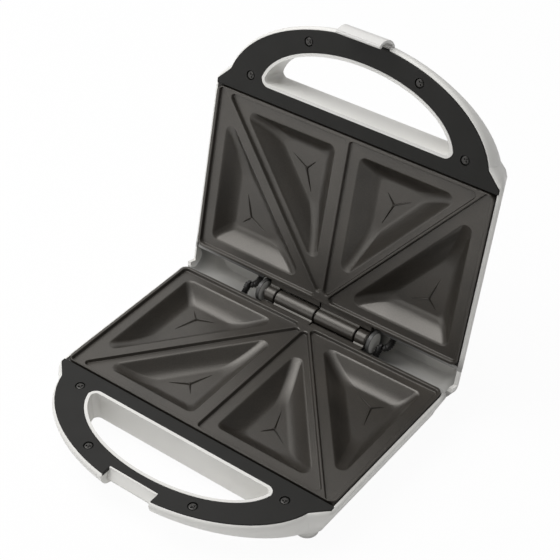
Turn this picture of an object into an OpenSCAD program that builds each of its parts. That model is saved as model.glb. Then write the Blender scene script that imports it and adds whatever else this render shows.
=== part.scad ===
// Sandwich toaster with two hinged halves, standing open on its feet.
// X runs along the hinge, Y to the rear and Z up. The origin is under the middle of the open toaster.

/* [Cooking plates] */
// Width of each cooking plate
plate_w = 220; // [200:1:240]
// Depth of each cooking plate, from front to hinge
plate_d = 124; // [116:1:134]
// Outer corner radius of a plate
plate_r = 5; // [3:0.5:8]
// Height of the plate's outer edge
plate_edge_h = 5; // [4:0.2:6]
// Width of the sealing rim round a plate
rim_w = 2.2; // [1.6:0.1:3]
// Width of the crest between two cells
ridge_w = 1.5; // [1:0.1:2.4]
// Height of rim and crests above the cell floor
ridge_h = 2.4; // [1.6:0.1:3]
// Depth of a filling pocket below the cell floor
pocket_depth = 10; // [6:0.5:10.5]
// Distance over which a pocket's wall slopes to its floor
pocket_slope = 13; // [10:0.5:15]
// Metal thickness under the pockets
plate_t = 2; // [1.6:0.1:2.4]

/* [Casings] */
// Gap between plate edge and casing wall, at the sides
side_gap = 0.7; // [0.5:0.1:1.2]
// Wall thickness of the moulded casings
wall = 2.4; // [2:0.1:3]
// Height of the hollow for the circuit, between heat shield and panel
circuit_room = 6.8; // [6:0.1:12]
// Drop of the casing rim below the mating plane
rim_drop = 1.6; // [1.4:0.1:2.2]
// How far the side walls lean inwards, per millimetre of depth
side_draft = 0.45; // [0.3:0.01:0.5]
// Depth of the handle's front edge
grip_depth = 13; // [11.5:0.5:15]
// Reach of the handles in front of the plates
handle_reach = 65.5; // [62:0.5:72]
// How far the lid's trough reaches behind the plates
trough_reach = 26; // [23:0.5:27]

/* [Handle covers] */
// Thickness of the handle covers
cover_t = 2.5; // [2:0.1:3]
// Drop of the covers below the mating plane
cover_drop = 1; // [0.6:0.1:1.4]
// Width of the collar round the finger hole
collar_w = 2.2; // [1.6:0.1:3]
// Half width of the finger hole in the covers
hole_a = 76; // [68:0.5:80]
// Depth of the finger hole in the covers
hole_b = 40; // [34:0.5:42]

/* [Hinge] */
// Distance of the hinge axis behind the plates
hinge_y = 10.5; // [9.5:0.1:11.5]
// Gap between the crests of the closed plates
closing_gap = 0.8; // [0.6:0.1:1.2]
// Opening angle of the lid at its stop
lid_open = 104; // [95:1:104]
// Outer radius of the hinge knuckles
knuckle_r = 5.4; // [4.6:0.1:6]
// Radius of the steel hinge pin
pin_r = 2; // [1.6:0.1:2.5]
// Length of a long knuckle
long_knuckle = 33; // [28:0.5:34]
// Length of a short knuckle
short_knuckle = 8.2; // [6:0.1:8.6]

/* [Latch] */
// Width of the latch clip
latch_w = 33.5; // [26:0.5:36]
// Radius of the latch pin
latch_pin_r = 1.2; // [1:0.1:1.4]
// Radial clearance of pins in their bores
fit = 0.05; // [0.02:0.01:0.1]

/* [Feet and fasteners] */
// Height of the feet below the base
foot_h = 4; // [3:0.2:6]
// Radius of a foot
foot_r = 7.4; // [6:0.2:8]
// Radius of the screws' threads
screw_r = 1.5; // [1.2:0.1:1.8]
// Radius of the screw heads
head_r = 2.9; // [2.6:0.1:3.2]

/* [Hidden] */
$fn = 48;
seat_gap = 0.15;
shield_t = 0.8;
shield_z = -ridge_h - pocket_depth - plate_t - 0.6;
body_depth = -shield_z + shield_t + circuit_room + wall;
half_plate = plate_w / 2;
front = -plate_d;
casing_half = half_plate + side_gap + wall;
hinge_z = closing_gap / 2;

// Handle outlines, all in the plane of the cover
ear_x = half_plate + 1.3;
cover_rear = front - 1;
cover_yc = front - 2.8;
cover_a = casing_half - 10.1;
cover_b = handle_reach - 2.8;
hole_yc = cover_rear - 9.8;
ear_low_y = cover_rear - 3.1;
neck_y = cover_yc - 11.3;
grip_front = cover_yc - cover_b;
shell_margin = 2;
body_front = hole_yc - collar_w - 0.1;
base_rear = 3;
notch_w = latch_w + 5.5;
notch_y = grip_front + 7.5;
bolt_x = [hole_a + 0.311 * (cover_a - hole_a), 0.4146 * cover_a];
cover_bolts = [[bolt_x[0], front - 14.7], [bolt_x[1], band_middle(bolt_x[1])]];
z_cover = -cover_drop;
z_ledge = -cover_drop - cover_t;
z_floor = -body_depth + wall;

// Standing height and the middle of the open toaster
foot_z = -body_depth - foot_h;
open_rear = hinge_y - (body_front - hinge_y) * -cos(lid_open) + (body_depth + hinge_z) * sin(lid_open);
mid_y = (grip_front - shell_margin + open_rear) / 2;

// Middle of the cover's front band at a distance x from the centre line
function band_middle(x) = (hole_yc - hole_b * sqrt(1 - pow(x / hole_a, 2)) + cover_yc - cover_b
    * sqrt(1 - pow(x / cover_a, 2))) / 2;
function arc_pts(c, r, a0, a1, n) = [for (i = [0:n]) c + r
    * [cos(a0 + (a1 - a0) * i / n), sin(a0 + (a1 - a0) * i / n)]];
function at_z(pts, z) = [for (p = pts) [p[0], p[1], z]];

// End faces of a loft with n points a ring. Rings that are the same left and right are closed
// with strips between their two sides, or with two halves and a middle.
function cap(n, kind) = let (h = n / 2)
  kind == "strips" ? [for (i = [0:h - 2]) [i, i + 1, n - 2 - i, n - 1 - i]] :
  kind == "halves" ? [[for (i = [0:h - 1]) i], [for (i = [h:n - 1]) i], [n - 1, 0, h - 1, h]]
      : [[for (i = [0:n - 1]) i]];
function flipped(l) = [for (i = [len(l) - 1:-1:0]) l[i]];

// Solid through a stack of rings, lowest first, each with the same number of points
module loft(rings, kind = "whole") {
  n = len(rings[0]);
  m = len(rings);
  polyhedron(points = [for (r = rings) each r],
    faces = concat(cap(n, kind),
      [for (j = [0:m - 2]) for (i = [0:n - 1]) [j * n + i, (j + 1) * n + i, (j + 1) * n + (i + 1) % n]],
      [for (j = [0:m - 2]) for (i = [0:n - 1]) [j * n + i, (j + 1) * n + (i + 1) % n, j * n + (i + 1) % n]],
      [for (f = cap(n, kind)) [for (i = flipped(f)) (m - 1) * n + i]]), convexity = 8);
}

// Triangle with rounded corners, all sides moved inwards by inset
function unit(v) = v / norm(v);
function incentre(t) = let (a = norm(t[1] - t[2]), b = norm(t[0] - t[2]),
    c = norm(t[0] - t[1])) (a * t[0] + b * t[1] + c * t[2]) / (a + b + c);
function inradius(t) = let (a = norm(t[1] - t[2]), b = norm(t[0] - t[2]), c = norm(t[0] - t[1]),
    s = (a + b + c) / 2) sqrt((s - a) * (s - b) * (s - c) / s);
function corner_pts(p, q, s, r, n) =
  let (u = unit(q - p), v = unit(s - p), half = acos(u * v) / 2, c = p + unit(u + v) * r / sin(half),
       a0 = atan2(-v[0] , v[1]), turn = 180 - 2 * half)
  [for (i = [0:n]) let (a = atan2(-(u[0] + v[0]), -(u[1] + v[1])), w = turn * (i / n - 0.5))
      c + r * [sin(a - w), cos(a - w)]];
function tri_ring(t, inset, r, n = 4) =
  let (c = incentre(t), k = 1 - inset / inradius(t), s = [for (p = t) c + (p - c) * k])
  [for (i = [0:2]) each corner_pts(s[i], s[(i + 1) % 3], s[(i + 2) % 3], r, n)];

// Corners of the two cells and two pockets in the right half, counter-clockwise
diag_foot = [half_plate - 9, front + 2.5];
diag_dir = unit(diag_foot);
diag_n = [-diag_dir[1], diag_dir[0]];
function on_diag_x(off, x) = let (p = diag_n * off) [x, p[1] + (x - p[0]) * diag_dir[1] / diag_dir[0]];
function on_diag_y(off, y) = let (p = diag_n * off) [p[0] + (y - p[1]) * diag_dir[0] / diag_dir[1], y];
cell_x = half_plate - rim_w;
cell_y = front + rim_w;
crest = ridge_w / 2;
rear_cell = [[cell_x, -rim_w], on_diag_y(crest, -rim_w), on_diag_x(crest, cell_x)];
front_cell = [[crest, cell_y], on_diag_y(-crest, cell_y), on_diag_x(-crest, crest)];
pocket_side = half_plate - 11;
rear_off = 9.4;
front_off = 6.3;
rear_pocket = [[pocket_side, -9.4], on_diag_y(rear_off, -9.4), on_diag_x(rear_off, pocket_side)];
front_pocket = [[10.2, front + 11], on_diag_y(-front_off, front + 11), on_diag_x(-front_off, 10.2)];
crease_centres = [[74.5, -31.8], [35.6, front + 38.7]];
function pocket_z(d) = -ridge_h - pocket_depth * sin(90 * min(1, d / pocket_slope));

module cell(t) loft([at_z(tri_ring(t, 0.7, 2.2), -ridge_h), at_z(tri_ring(t, 0, 2.8), 0.01),
    at_z(tri_ring(t, 0, 2.8), 1)]);

module pocket(t, grow, top) {
  steps = [1, 0.74, 0.5, 0.3, 0.14, 0];
  loft(concat([for (k = steps) at_z(tri_ring(t, k * pocket_slope - grow, 4.5 + grow),
      pocket_z(k * pocket_slope) - grow)],
    [at_z(tri_ring(t, -grow, 4.5 + grow), top)]));
}

// Three-armed crease that stands up from a pocket's floor
module crease(t, c) {
  reach = [9, 14, 17];
  translate([0, 0, pocket_z(pocket_slope) - 0.3]) linear_extrude(0.9) for (i = [0:2]) {
    u = unit(t[i] - c);
    s = [-u[1], u[0]];
    polygon([c - u * 0.6 - s * 0.55, c + u * reach[i] - s * 0.2, c + u * reach[i] + s * 0.2,
        c - u * 0.6 + s * 0.55]);
  }
}

module both_sides() {
  children();
  mirror([1, 0, 0]) children();
}

module rounded_slab(w, y0, y1, r, z0, z1) {
  translate([0, 0, z0]) linear_extrude(z1 - z0) polygon(rect_ring(w, y0, y1, r, r, 6));
}

function rect_ring(w, yf, yr, rf, rr, n) = concat(
  arc_pts([w - rf, yf + rf], rf, -90, 0, n), arc_pts([w - rr, yr - rr], rr, 0, 90, n),
  arc_pts([rr - w, yr - rr], rr, 90, 180, n), arc_pts([rf - w, yf + rf], rf, 180, 270, n));

// Cooking plate with its knuckles, face up
module plate_solid() {
  difference() {
    union() {
      rounded_slab(half_plate, front, 0, plate_r, -plate_edge_h, 0);
      both_sides() {
        pocket(rear_pocket, plate_t, -ridge_h - 1);
        pocket(front_pocket, plate_t, -ridge_h - 1);
        for (p = plate_bolts) translate([p[0], p[1], shield_z])
            cylinder(r = boss_r, h = -shield_z - ridge_h - 1);
        translate([0.5 * knuckle_gap, 0, 0]) rotate([90, 0, 90])
            linear_extrude(long_knuckle + knuckle_gap + short_knuckle)
          polygon([[-1, -plate_edge_h], [5.2, -plate_edge_h], [5.2, -3.6], [4.4, -1.5], [-1, -1.5]]);
      }
      knuckle(-0.5 * knuckle_gap - long_knuckle, long_knuckle);
      knuckle(short_start, short_knuckle);
    }
    both_sides() {
      cell(rear_cell);
      cell(front_cell);
      pocket(rear_pocket, 0, -ridge_h + 1);
      pocket(front_pocket, 0, -ridge_h + 1);
      for (p = plate_bolts) translate([p[0], p[1], shield_z - 1])
          cylinder(r = screw_r + fit, h = -shield_z - ridge_h);
    }
    translate([-60, hinge_y, hinge_z]) rotate([0, 90, 0]) cylinder(r = pin_r + fit, h = 120);
  }
  both_sides() {
    crease(rear_pocket, crease_centres[0]);
    crease(front_pocket, crease_centres[1]);
  }
}
knuckle_gap = 1;
short_start = long_knuckle + 1.5 * knuckle_gap;

// Barrel with the web that joins it to the plate's rear edge
module knuckle(x, length) {
  translate([x, hinge_y, hinge_z]) rotate([0, 90, 0]) cylinder(r = knuckle_r, h = length);
  translate([x, 0, 0]) rotate([90, 0, 90]) linear_extrude(length)
    polygon([[-1, -plate_edge_h], [hinge_y - 1, hinge_z - knuckle_r + 0.1], [hinge_y - 3, hinge_z + 1],
      [hinge_y - knuckle_r, -1.5], [-1, -1.5]]);
}

// Outline of the handle cover, with its ears; the finger hole is a separate outline
function ellipse_pts(a, b, yc, a0, a1, n) = [for (i = [0:n])
    let (t = a0 + (a1 - a0) * i / n) [a * cos(t), yc + b * sin(t)]];
neck_t = asin((cover_yc - neck_y) / cover_b);
module cover_outline(grow) {
  polygon(concat([[-ear_x - grow, cover_rear + grow], [-ear_x - grow, ear_low_y - grow / 2]],
    ellipse_pts(cover_a + grow, cover_b + grow, cover_yc, 180 + neck_t, 360 - neck_t, 44),
    [[ear_x + grow, ear_low_y - grow / 2], [ear_x + grow, cover_rear + grow]]));
}
module hole_outline(grow) {
  r = 6 + grow;
  a = hole_a + grow;
  b = hole_b + grow;
  t0 = asin(6 / b);
  c = a * cos(t0) - r;
  polygon(concat(arc_pts([-c, hole_yc - 6], r, 90, 170, 5),
      ellipse_pts(a, b, hole_yc, 180 + t0, 360 - t0, 36),
    arc_pts([c, hole_yc - 6], r, 10, 90, 5)));
}
module notch_outline(grow) {
  translate([-notch_w / 2 - grow, grip_front - 20]) square([notch_w + 2 * grow,
      notch_y + grow - grip_front + 20]);
}
notch_t = 1.2;

module handle_cover(notched) {
  translate([0, 0, z_ledge]) difference() {
    linear_extrude(cover_t) difference() {
      cover_outline(0);
      hole_outline(seat_gap);
      if (notched) translate([0, notch_t + seat_gap]) notch_outline(0);
    }
    both_sides() for (p = cover_bolts) translate([p[0], p[1], 0]) {
      translate([0, 0, -1]) cylinder(r = screw_r + 0.2, h = cover_t + 2);
      translate([0, 0, 1]) cylinder(r = head_r + 0.5, h = cover_t);
    }
  }
}

// Casing profile as [side inset, front inset, depth, corner swell], from rim to panel
edge_r = 2.4;
foot_edge_r = 5;
side_run = body_depth - rim_drop - edge_r - foot_edge_r;
body_profile = concat(
  [for (a = [0:30:90]) [edge_r * (1 - sin(a)), 0, rim_drop + edge_r * (1 - cos(a)), 1.5 * a / 90]],
  [[4 * side_draft, 0, rim_drop + edge_r + 4, 4.5]],
  [for (a = [0:30:90]) [side_run * side_draft + foot_edge_r * (1 - cos(a)), 3 * (1 - cos(a)),
    body_depth - foot_edge_r * (1 - sin(a)), 4.5]]);
function front_corner(w, y, swell) = [[w - 14, y], [w - 10.8, y - 2.5 - 0.4 * swell],
    [w - 6.4, y + 2.4 - 0.75 * swell],
  [w - 2, y + 7.4 - swell], [w, y + 10.6 - 0.8 * swell]];
function body_ring(p, rear, r, z) = let (w = casing_half - p[0],
    f = front_corner(w, body_front + p[1], p[3]))
  at_z(concat(f, arc_pts([w - r, rear - r], r, 0, 90, 6), arc_pts([r - w, rear - r], r, 90, 180, 6),
      flipped([for (q = f) [-q[0], q[1]]])), z);

// Handle profile as [inset, depth, lift], deeper towards the body
grip_edge_r = 7.5;
grip_swell = (body_depth - 1.5 - rim_drop) / (grip_depth - rim_drop) - 1;
function grip_z(d, y) = -rim_drop - (d - rim_drop) * (1 + grip_swell
    * pow(max(0, min(1, (y - grip_front) / (body_front - grip_front))), 1.4));
function grip_ring(inset, d, lift) = let (a = cover_a + shell_margin - inset,
    b = cover_b + shell_margin - inset)
  [for (p = concat([[-a, front + 4]], ellipse_pts(a, b, cover_yc, 180, 360, 43),
      [[a, front + 4]])) [p[0], p[1], grip_z(d, p[1]) + lift]];
grip_profile = [for (a = [90:-22.5:0]) [0.4 + grip_edge_r * (1 - cos(a)),
    grip_depth - grip_edge_r * (1 - sin(a)), a]];

module casing_outer(rear, r) {
  loft([for (p = flipped(body_profile)) body_ring(p, rear - max(0, p[2] - body_depth + foot_edge_r) * r
      / 20, r, -p[2])], "halves");
  loft(concat([for (g = grip_profile) grip_ring(g[0], g[1], 0)],
    [for (a = [90:-30:0]) grip_ring(edge_r * (1 - sin(a)), rim_drop + edge_r * (1 - cos(a)), 0)]),
        "strips");
}
module casing_cavity(rear, r) {
  rings = [for (p = flipped(body_profile)) if (p[2] > rim_drop + edge_r - 0.1 && p[2] < body_depth
      - foot_edge_r + 0.1) p + [wall, wall, 0, 0]];
  loft(concat([body_ring(rings[0] + [2, 1.6, 0, 0], rear - wall - 1.6, r, z_floor)],
      [for (p = rings) body_ring(p, rear - wall, r, -p[2])],
    [body_ring([wall, wall, 0, 0], rear - wall, r, 10)]), "halves");
  loft(concat([for (g = grip_profile) if (g[2] > 0) grip_ring(g[0] + wall * cos(g[2]), g[1],
      wall * sin(g[2]))],
    [grip_ring(0.4 + wall, grip_depth - grip_edge_r, 0)],
        [at_z(grip_ring(shell_margin + 1.4, 0, 0), z_ledge + 1)]), "strips");
}
module finger_wall() translate([0, 0, -body_depth - 1]) linear_extrude(body_depth + 1.5 + z_ledge)
    hole_outline(1.2);
module cover_posts() {
  both_sides() for (p = cover_bolts) translate([p[0], p[1], -body_depth - 1])
      cylinder(r = 3.7, h = body_depth + 1.5 + z_ledge);
}
module plate_posts() {
  both_sides() for (p = plate_bolts) translate([p[0], p[1], -body_depth - 1])
      cylinder(r = 4.4, h = body_depth + 1 + shield_z - shield_t);
}
screw_well = 5;

// One half of the housing, hollow and open towards the mating plane
module half_shell(rear, r, lip = false) {
  difference() {
    union() {
      difference() {
        union() {
          casing_outer(rear, r);
          if (lip) rear_lip();
        }
        difference() {
          casing_cavity(rear, r);
          finger_wall();
          cover_posts();
          plate_posts();
          children();
        }
      }
      translate([0, 0, -rim_drop - 4]) linear_extrude(rim_drop + 4 - cover_drop) hole_outline(1);
    }
    translate([0, 0, z_ledge]) linear_extrude(10) difference() {
      cover_outline(seat_gap);
      hole_outline(0);
    }
    translate([0, 0, -body_depth - 2]) linear_extrude(body_depth + 4) hole_outline(-collar_w);
    both_sides() {
      for (p = cover_bolts) translate([p[0], p[1], z_ledge - cover_screw])
          cylinder(r = screw_r + fit, h = cover_screw + 4);
      for (p = plate_bolts) translate([p[0], p[1], -body_depth - 2]) {
        cylinder(r = screw_r + 0.2, h = body_depth);
        cylinder(r = head_r + 0.4, h = 2 + screw_well);
      }
    }
    translate([-cheek_out - 2, -0.5, -plate_edge_h - 0.6]) cube([2 * cheek_out + 4, base_rear + 1, 10]);
  }
}
module sleeve_hole(x) translate([x, -1, sleeve_low + 0.45]) rotate([-90, 0, 0])
    cylinder(r = sleeve_r + 1, h = 5);

catch_y = notch_y - 3;
catch_z = -8.3;
module base_casing() color("#eceae6") place() {
  difference() {
    union() {
      half_shell(base_rear, 6);
      difference() {
        both_sides() for (y = foot_ys) translate([foot_x, y, -body_depth - 1])
            cylinder(r = foot_r + 0.2, h = 12);
        casing_cavity(base_rear, 6);
      }
      intersection() {
        casing_outer(base_rear, 6);
        translate([0, 0, -body_depth]) linear_extrude(body_depth + z_ledge) difference() {
          notch_outline(wall);
          translate([-60, notch_y + wall]) square([120, 60]);
        }
      }
      translate([-notch_w / 2 - 1, notch_y, z_ledge - 1]) cube([notch_w + 2, notch_t, 1]);
      translate([seat_gap - notch_w / 2, notch_y, z_ledge - 0.5])
          cube([notch_w - 2 * seat_gap, notch_t, cover_t + 0.5]);
    }
    translate([0, 0, -body_depth - 1]) linear_extrude(body_depth + 3) notch_outline(0);
    translate([outlet_x, base_rear - wall, outlet_z]) rotate([-90, 0, 0]) {
      translate([0, 0, -0.05]) cylinder(r = outlet_r + 1, h = wall + 2);
      translate([0, 0, -3]) cylinder(r = outlet_r + 0.2, h = 4);
    }
    both_sides() for (y = foot_ys) translate([foot_x, y, -body_depth - 2]) cylinder(r = 1.6, h = wall + 3);
    for (i = [-3:3]) translate([i * 9, front / 2, -body_depth - 1]) vent();
    for (x = sleeve_xs) sleeve_hole(x - sleeve_step);
    translate([-casing_half - 1, -1, -rim_drop - 1.5]) cube([2 * casing_half + 2, 10, 10]);
  }
  translate([seat_gap - notch_w / 2, 0, 0]) rotate([90, 0, 90]) linear_extrude(notch_w - 2 * seat_gap)
    polygon([[notch_y + 0.5, -2], [notch_y, -2], [catch_y, catch_z + 0.8], [catch_y, catch_z],
        [notch_y + 0.5, catch_z]]);
}
module vent() {
  linear_extrude(wall + 2) {
    translate([-1.2, -12]) square([2.4, 24]);
    for (s = [-12, 12]) translate([0, s]) circle(r = 1.2);
  }
}
outlet_x = casing_half - 29.1;
outlet_z = -body_depth + 5.8;
outlet_r = 2.6;
lug_low = 0.7;
foot_x = casing_half - 18.3;
foot_ys = [body_front + 7.1, -8];

module place() translate([0, -mid_y, -foot_z]) children();
module on_lid() {
  place() translate([0, hinge_y, hinge_z]) rotate([-lid_open, 0, 0]) translate([0, -hinge_y, hinge_z])
    rotate([0, 180, 0]) children();
}

module base_handle_cover() color("#2e2c29") place() handle_cover(true);
module lid_handle_cover() color("#2e2c29") on_lid() handle_cover(false);

module screw(len) {
  difference() {
    translate([0, 0, 0]) cylinder(r = head_r, h = 1.4);
    for (a = [0, 90]) rotate([0, 0, a]) translate([-1.7, -0.4, 0.7]) cube([3.4, 0.8, 2]);
  }
  translate([0, 0, -len]) cylinder(r = screw_r, h = len + 0.1);
}
cover_screw = 2.2 + 2 * head_r;
module cover_screw_set() {
  both_sides() for (p = cover_bolts) translate([p[0], p[1], z_ledge + 1]) screw(cover_screw);
}
module base_cover_screws() color("#3a3835") place() cover_screw_set();
module lid_cover_screws() color("#3a3835") on_lid() cover_screw_set();

module plate_screw_set() {
  both_sides() for (p = plate_bolts) translate([p[0], p[1], -body_depth + screw_well]) rotate([180, 0, 0])
    screw(body_depth - screw_well - ridge_h - 2.2);
}
module base_plate_screws() color("silver") place() plate_screw_set();
module lid_plate_screws() color("silver") on_lid() plate_screw_set();

module base_plate() color("#37342f") place() plate_solid();
module lid_plate() color("#504d46") on_lid() plate_solid();

// Tubular heater that lies between the pockets, under the crests and the front edge
heater_r = 3.2;
heater_z = -plate_edge_h - heater_r - 0.05;
heater_off = (rear_off - front_off) / 2;
heater_front = front + 5.5;
heater_bend = 9;
heater_top = on_diag_y(heater_off, -26);
heater_turn = atan2(-diag_dir[1], diag_dir[0]);
heater_corner = on_diag_y(heater_off, heater_front);
heater_mid = heater_corner - [heater_bend / tan(heater_turn / 2), -heater_bend];

// Stations of [point, heading, radius] from the cold end at the top right to the middle of the front run
heater_run = concat([for (q = [[-5, 1.4], [0, 1.4], [0, heater_r]]) [heater_top + q[0] * diag_dir,
    -heater_turn, q[1]]],
  [for (k = [0:6]) let (h = -heater_turn - (180 - heater_turn) * k / 6) [heater_mid + heater_bend
      * [-sin(h), cos(h)], h, heater_r]]);
module heater() loft([for (q = concat(heater_run, [for (q = flipped(heater_run)) [[-q[0][0], q[0][1]],
    -q[1], q[2]]]))
  [for (k = [0:11]) let (v = q[2] * cos(30 * k)) [q[0][0] - v * sin(q[1]), q[0][1] + v * cos(q[1]),
      heater_z + q[2] * sin(30 * k)]]]);
module base_heater() color("#8c8a86") place() heater();
module lid_heater() color("#8c8a86") on_lid() heater();

// Sheet tray that throws the heat back at the plate, clamped between the plate's bosses and the posts
shield_half = casing_half - wall - (-shield_z - rim_drop - edge_r) * side_draft - 1.2;
boss_r = 3.6;
plate_bolts = [[shield_half - shield_t - boss_r - 0.45, front + 20], [13, -14]];
module reflector() {
  difference() {
    rounded_slab(shield_half, front + 1, -1, 4, shield_z - shield_t, shield_z + 3);
    rounded_slab(shield_half - shield_t, front + 1 + shield_t, -1 - shield_t, 4 - shield_t, shield_z,
        shield_z + 4);
    both_sides() for (p = plate_bolts) translate([p[0], p[1], shield_z - 2])
        cylinder(r = screw_r + 0.2, h = 8);
  }
}
module base_reflector() color("#b8bcc0") place() reflector();
module lid_reflector() color("#b8bcc0") on_lid() reflector();

module feet() color("#c9c7c2") place() both_sides() for (y = foot_ys) translate([foot_x, y, foot_z]) {
  cylinder(r = foot_r - 1, h = 1);
  translate([0, 0, 1]) cylinder(r = foot_r, h = foot_h - 2);
  cylinder(r = 1.5, h = foot_h + wall + 0.6);
  translate([0, 0, foot_h + wall]) cylinder(r = 2.2, h = 1);
}

module outlet_bush() color("#e6e4df") place() translate([outlet_x, base_rear - wall, outlet_z])
    rotate([-90, 0, 0]) difference() {
  union() {
    cylinder(r = outlet_r + 0.95, h = wall + 0.05);
    intersection() {
      translate([0, 0, -1.2]) cylinder(r = outlet_r + 1.7, h = 1.2);
      translate([-10, -10, -2]) cube([20, 10 + lug_low, 4]);
    }
    translate([0, 0, wall]) cylinder(r = outlet_r + 1.9, h = 1.2);
  }
  translate([0, 0, -3]) cylinder(r = outlet_r, h = wall + 8);
}

// Parts of the circuit, in the hollow between the heat shield and the bottom panel
module thermostat() color("#c9c6bd") place() translate([0, front + 30, shield_z - shield_t]) {
  translate([0, 0, -1]) cylinder(r = 9, h = 1);
  translate([0, 0, -4]) cylinder(r = 7, h = 3);
  for (s = [-1, 1]) translate([s * 10 - 2.5, -2.5, -1]) cube([5, 5, 0.8]);
}
module thermal_fuse() color("#d8c9a8") place() translate([-26, front + 30, shield_z - shield_t - 2]) {
  rotate([0, 90, 0]) {
    translate([0, 0, -6]) cylinder(r = 1.8, h = 12);
    translate([0, 0, -10]) cylinder(r = 0.6, h = 20);
  }
  translate([-4, -2.4, 0]) cube([8, 4.8, 2]);
}
module terminal_block() color("#e9e6dc") place() translate([outlet_x - 30, -14, z_floor]) difference() {
  cube([24, 7, 3.6]);
  for (i = [0:2]) translate([4 + 8 * i, 3.5, 1]) cylinder(r = 1.6, h = 4);
}

// Hinge pin, held by blind sockets in the lid casing's two cheeks
cheek_t = 2.4;
cheek_in = short_start + short_knuckle + 3;
cheek_out = cheek_in + cheek_t;
cheek_r = 8;
socket = 1.5;
module hinge_pin() color("silver") place() translate([-cheek_in - socket + 0.1, hinge_y, hinge_z])
    rotate([0, 90, 0])
  cylinder(r = pin_r, h = 2 * (cheek_in + socket - 0.1));

// Sleeved lead that leaves the casing and turns into the hinge axis, where the two halves meet
sleeve_r = 2.6;
sleeve_step = 3;
sleeve_low = -8.4;
sleeve_xs = [-58, 55];
function bezier(p, t) = pow(1 - t, 3) * p[0] + 3 * t * pow(1 - t, 2) * p[1] + 3 * t * t * (1 - t) * p[2]
    + t * t * t * p[3];
module sleeve(x) {
  p = [[x - sleeve_step, -3, sleeve_low], [x - sleeve_step, 10, sleeve_low], [x - 4, hinge_y, hinge_z],
      [x - 0.15, hinge_y, hinge_z]];
  n = 22;
  loft([for (i = [0:n]) let (t = i / n, c = bezier(p, t), a = bezier(p, max(0, t - 0.02)),
      b = bezier(p, min(1, t + 0.02)),
      u = unit(b - a), v = unit(cross(u, [0.5, -0.5, 0.7])), w = cross(u, v), r = sleeve_r - (i % 2) * 0.35)
    [for (k = [0:11]) c + r * (cos(30 * k) * v + sin(30 * k) * w)]]);
}
module left_sleeve_base() color("#1c1b1a") place() sleeve(sleeve_xs[0]);
module right_sleeve_base() color("#1c1b1a") place() sleeve(sleeve_xs[1]);
module left_sleeve_lid() color("#1c1b1a") on_lid() sleeve(-sleeve_xs[0]);
module right_sleeve_lid() color("#1c1b1a") on_lid() sleeve(-sleeve_xs[1]);

lens_r = 3;
lens_x = 9;
lens_y = front + 14;
pivot = [grip_front + 1, -6.4];
slot_w = latch_w + 1;
module lid_casing() color("#eceae6") on_lid() {
  difference() {
    union() {
      half_shell(trough_reach, trough_r, true) {
        translate([-casing_half, base_rear - wall, -body_depth - 1])
            cube([2 * casing_half, wall, body_depth + 1 - rim_drop - 0.9]);
        translate([-slot_w / 2 - 3, grip_front - 1, -body_depth])
            cube([slot_w + 6, 7.6, body_depth + z_ledge]);
      }
      both_sides() translate([cheek_in, 0, 0]) rotate([90, 0, 90]) linear_extrude(cheek_t) {
        translate([hinge_y, hinge_z]) circle(r = cheek_r);
        translate([base_rear - 1, -body_depth + 1.5]) square([hinge_y + cheek_r - base_rear + 1,
            body_depth - 1.5 - 1]);
      }
    }
    translate([-cheek_in - socket, hinge_y, hinge_z]) rotate([0, 90, 0])
        cylinder(r = pin_r + fit, h = 2 * (cheek_in + socket));
    translate([-slot_w / 2, grip_front - 10, pivot[1] - 3]) cube([slot_w, 15, 13]);
    translate([-slot_w / 2 - 2, pivot[0], pivot[1]]) rotate([0, 90, 0])
        cylinder(r = latch_pin_r + fit, h = slot_w + 4);
    for (s = [-1, 1]) translate([s * lens_x, lens_y, -body_depth - 1])
        cylinder(r = lens_r + 0.1, h = wall + 2);
    for (x = sleeve_xs) sleeve_hole(-x - sleeve_step);
  }
}
// Lower edge of the trough's rear wall, which meets the base's rear wall as the stop
trough_r = 12;
rear_lip_h = hinge_z + (hinge_y - base_rear - 0.3 + (trough_reach - hinge_y) * cos(lid_open))
    / sin(lid_open);
module rear_lip() {
  c = [casing_half - trough_r, trough_reach - trough_r];
  translate([0, 0, -rim_drop - edge_r - 0.2]) linear_extrude(rim_drop + edge_r + 0.2 + rear_lip_h)
    polygon(concat(arc_pts(c, trough_r - 0.15, 0, 90, 6),
        arc_pts([-c[0], c[1]], trough_r - 0.15, 90, 180, 6)));
}

module lens() {
  translate([0, lens_y, -body_depth - 1.2]) {
    cylinder(r = lens_r, h = wall + 1.2);
    translate([0, 0, 1.2 + wall]) cylinder(r = lens_r + 1, h = lens_flange);
  }
}
module power_lens() color("#b3241c") on_lid() translate([-lens_x, 0, 0]) lens();
module ready_lens() color("#2c8a3a") on_lid() translate([lens_x, 0, 0]) lens();
lens_flange = 0.8;
lamp_r = 1.9;
lamp_lift = lens_flange + 0.3 + lamp_r;
module lamp() {
  translate([0, lens_y - 4, z_floor + lamp_lift]) {
    rotate([-90, 0, 0]) cylinder(r = lamp_r, h = 9);
    sphere(r = lamp_r);
  }
}
module power_lamp() color("#e0a070") on_lid() translate([-lens_x, 0, 0]) lamp();
module ready_lamp() color("#b0e0a0") on_lid() translate([lens_x, 0, 0]) lamp();
module lamp_holder() color("#d8d4c8") on_lid() translate([0, lens_y, z_floor]) difference() {
  translate([-lens_x - 6, -4, 0]) cube([2 * lens_x + 12, 8, circuit_room - 0.8]);
  for (s = [-1, 1]) translate([s * lens_x, 0, -1]) {
    cylinder(r = lens_r + 1.1, h = 1.9);
    cylinder(r = lens_r / 2, h = 1 + lamp_lift);
    translate([0, -6, 1 + lamp_lift]) rotate([-90, 0, 0]) cylinder(r = lamp_r + 0.05, h = 20);
  }
}

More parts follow.
